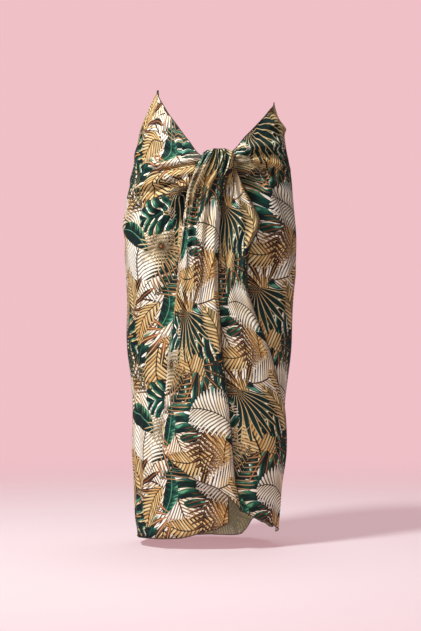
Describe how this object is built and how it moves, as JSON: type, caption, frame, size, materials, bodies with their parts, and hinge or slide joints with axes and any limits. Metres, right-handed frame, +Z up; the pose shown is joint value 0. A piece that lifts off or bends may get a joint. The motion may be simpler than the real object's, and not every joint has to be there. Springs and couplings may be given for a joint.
{
  "type": "sarong worn round the hips and knotted in front",
  "caption": "Printed beach sarong worn as a long hip wrap, knotted in front, with two long tails that hang from the knot. Hollow, with no wearer.",
  "frame": {"origin": "middle of the waist where the wearer's hips hold the sarong, at the height of the knot's top", "axes": "+Z up, front with the knot towards -Y, +X to the right of the picture"},
  "size_m": [0.4086, 0.308, 1.0592],
  "materials": {
    "printed_cloth": "soft plain-woven viscose with a dense tropical leaf print in green, ochre, brown and cream, slight sheen",
    "cloth_reverse": "wrong side of the same cloth, where the print shows through pale and soft",
    "hem_stitching": "narrow rolled hem with dark overlocked thread"
  },
  "bodies": {
    "root": {"wrap_left": "printed_cloth", "wrap_back": "printed_cloth", "wrap_right": "printed_cloth", "knot": "printed_cloth", "tail_centre": "printed_cloth", "tail_right": "printed_cloth"}
  },
  "joints": []
}
